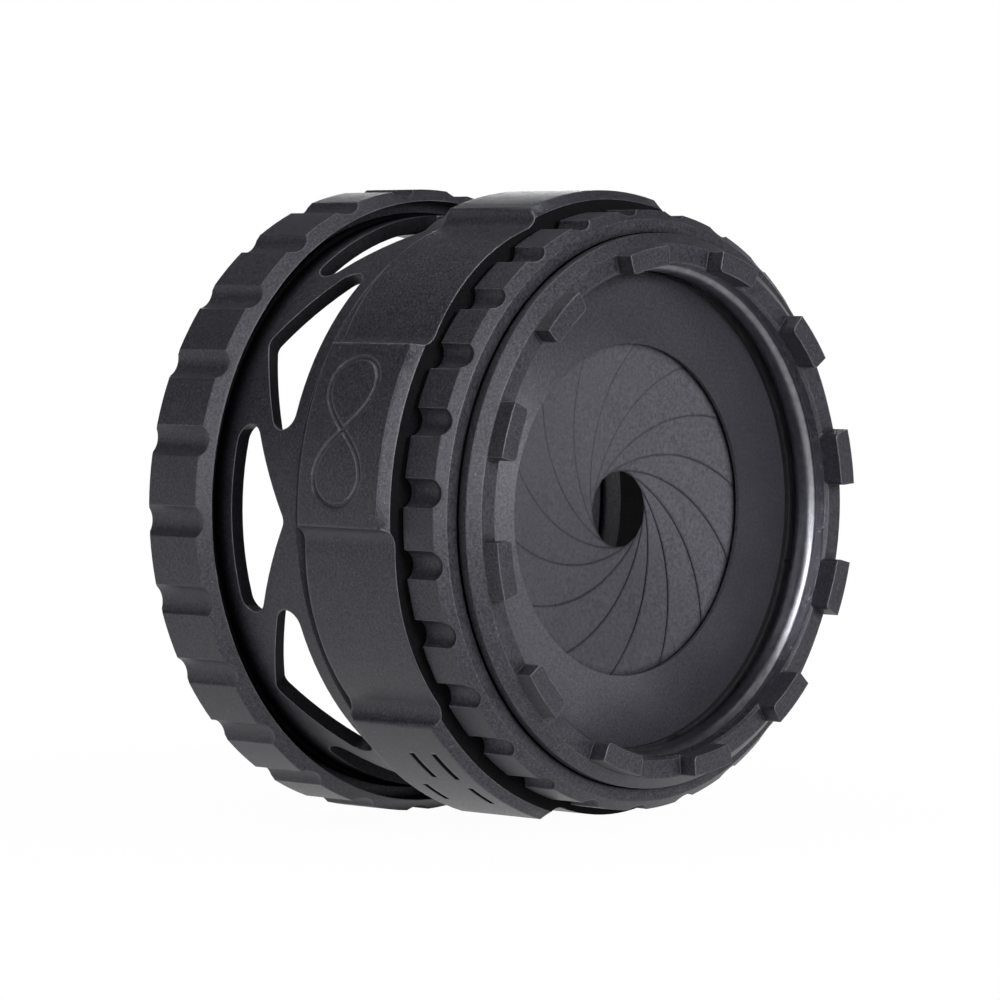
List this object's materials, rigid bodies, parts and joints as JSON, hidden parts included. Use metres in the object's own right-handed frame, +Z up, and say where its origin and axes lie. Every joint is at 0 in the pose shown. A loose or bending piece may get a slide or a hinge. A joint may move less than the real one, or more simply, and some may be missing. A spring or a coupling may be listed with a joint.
{
  "type": "iris diaphragm",
  "caption": "Clip-on iris diaphragm for a night-vision objective: knurled clamp ring, open lattice cage, turning control band, overlapping blades behind a front window, castellated front ring",
  "frame": {"origin": "centre of the rear mouth of the bore that grips the lens barrel", "axes": "Y is the optical axis: light enters from -Y (the front, with the lugs) and the lens barrel enters from +Y. +Z is up as pictured and +X is to the right seen from the front"},
  "size_m": [0.0485, 0.0325, 0.0484],
  "materials": {
    "anodised": "fine-grained matt black anodised aluminium",
    "blackened": "matt black, blackened spring steel",
    "gloss_black": "gloss black lacquered aluminium",
    "dowel_steel": "plain ground steel",
    "rubber_black": "matt black synthetic rubber",
    "coated_glass": "clear glass with an anti-reflection coating"
  },
  "bodies": {
    "housing": {"lattice_cage": "anodised", "front_ring": "anodised", "lug_ring": "anodised", "cover_plate": "blackened", "spacer_ring": "blackened", "window_gasket": "rubber_black", "window_glass": "coated_glass", "retaining_ring": "gloss_black", "barrel_bumper": "rubber_black", "light_baffle": "blackened", "ring_seal": "rubber_black"},
    "clamp": {"clamp_ring": "anodised"},
    "band": {"control_band": "anodised", "band_dowels": "dowel_steel", "cam_ring": "blackened"},
    "blade_01": {"iris_blade_01": "blackened"},
    "blade_02": {"iris_blade_02": "blackened"},
    "blade_03": {"iris_blade_03": "blackened"},
    "blade_04": {"iris_blade_04": "blackened"},
    "blade_05": {"iris_blade_05": "blackened"},
    "blade_06": {"iris_blade_06": "blackened"},
    "blade_07": {"iris_blade_07": "blackened"},
    "blade_08": {"iris_blade_08": "blackened"},
    "blade_09": {"iris_blade_09": "blackened"},
    "blade_10": {"iris_blade_10": "blackened"},
    "blade_11": {"iris_blade_11": "blackened"},
    "blade_12": {"iris_blade_12": "blackened"},
    "blade_13": {"iris_blade_13": "blackened"},
    "blade_14": {"iris_blade_14": "blackened"}
  },
  "joints": [
    {"name": "clamp_turn", "type": "hinge", "parent": "housing", "child": "clamp", "pos_m": [0, 0, 0], "axis": [0, 1, 0], "range_deg": [0, 90]},
    {"name": "band_turn", "type": "hinge", "parent": "housing", "child": "band", "pos_m": [0, -0.0205, 0], "axis": [0, 1, 0], "range_deg": [0, 24]},
    {"name": "blade_01_swing", "type": "hinge", "parent": "housing", "child": "blade_01", "pos_m": [0.01506, -0.02664, 0.00202], "axis": [0.0375, 0.9993, 0.0011], "range_deg": [0, 39.03]},
    {"name": "blade_02_swing", "type": "hinge", "parent": "housing", "child": "blade_02", "pos_m": [0.01269, -0.02664, 0.00835], "axis": [0.0333, 0.9993, 0.0172], "range_deg": [0, 39.03]},
    {"name": "blade_03_swing", "type": "hinge", "parent": "housing", "child": "blade_03", "pos_m": [0.00781, -0.02664, 0.01303], "axis": [0.0225, 0.9993, 0.0299], "range_deg": [0, 39.03]},
    {"name": "blade_04_swing", "type": "hinge", "parent": "housing", "child": "blade_04", "pos_m": [0.00138, -0.02664, 0.01513], "axis": [0.0073, 0.9993, 0.0368], "range_deg": [0, 39.03]},
    {"name": "blade_05_swing", "type": "hinge", "parent": "housing", "child": "blade_05", "pos_m": [-0.00532, -0.02664, 0.01423], "axis": [-0.0094, 0.9993, 0.0363], "range_deg": [0, 39.03]},
    {"name": "blade_06_swing", "type": "hinge", "parent": "housing", "child": "blade_06", "pos_m": [-0.01096, -0.02664, 0.01051], "axis": [-0.0242, 0.9993, 0.0286], "range_deg": [0, 39.03]},
    {"name": "blade_07_swing", "type": "hinge", "parent": "housing", "child": "blade_07", "pos_m": [-0.01444, -0.02664, 0.00472], "axis": [-0.0342, 0.9993, 0.0153], "range_deg": [0, 39.03]},
    {"name": "blade_08_swing", "type": "hinge", "parent": "housing", "child": "blade_08", "pos_m": [-0.01506, -0.02664, -0.00202], "axis": [-0.0375, 0.9993, -0.0011], "range_deg": [0, 39.03]},
    {"name": "blade_09_swing", "type": "hinge", "parent": "housing", "child": "blade_09", "pos_m": [-0.01269, -0.02664, -0.00835], "axis": [-0.0333, 0.9993, -0.0172], "range_deg": [0, 39.03]},
    {"name": "blade_10_swing", "type": "hinge", "parent": "housing", "child": "blade_10", "pos_m": [-0.00781, -0.02664, -0.01303], "axis": [-0.0225, 0.9993, -0.0299], "range_deg": [0, 39.03]},
    {"name": "blade_11_swing", "type": "hinge", "parent": "housing", "child": "blade_11", "pos_m": [-0.00138, -0.02664, -0.01513], "axis": [-0.0073, 0.9993, -0.0368], "range_deg": [0, 39.03]},
    {"name": "blade_12_swing", "type": "hinge", "parent": "housing", "child": "blade_12", "pos_m": [0.00532, -0.02664, -0.01423], "axis": [0.0094, 0.9993, -0.0363], "range_deg": [0, 39.03]},
    {"name": "blade_13_swing", "type": "hinge", "parent": "housing", "child": "blade_13", "pos_m": [0.01096, -0.02664, -0.01051], "axis": [0.0242, 0.9993, -0.0286], "range_deg": [0, 39.03]},
    {"name": "blade_14_swing", "type": "hinge", "parent": "housing", "child": "blade_14", "pos_m": [0.01444, -0.02664, -0.00472], "axis": [0.0342, 0.9993, -0.0153], "range_deg": [0, 39.03]}
  ],
  "couplings": [
    {"joint": "blade_01_swing", "follows": "band_turn", "ratio": 1.6254},
    {"joint": "blade_02_swing", "follows": "band_turn", "ratio": 1.6254},
    {"joint": "blade_03_swing", "follows": "band_turn", "ratio": 1.6254},
    {"joint": "blade_04_swing", "follows": "band_turn", "ratio": 1.6254},
    {"joint": "blade_05_swing", "follows": "band_turn", "ratio": 1.6254},
    {"joint": "blade_06_swing", "follows": "band_turn", "ratio": 1.6254},
    {"joint": "blade_07_swing", "follows": "band_turn", "ratio": 1.6254},
    {"joint": "blade_08_swing", "follows": "band_turn", "ratio": 1.6254},
    {"joint": "blade_09_swing", "follows": "band_turn", "ratio": 1.6254},
    {"joint": "blade_10_swing", "follows": "band_turn", "ratio": 1.6254},
    {"joint": "blade_11_swing", "follows": "band_turn", "ratio": 1.6254},
    {"joint": "blade_12_swing", "follows": "band_turn", "ratio": 1.6254},
    {"joint": "blade_13_swing", "follows": "band_turn", "ratio": 1.6254},
    {"joint": "blade_14_swing", "follows": "band_turn", "ratio": 1.6254}
  ]
}
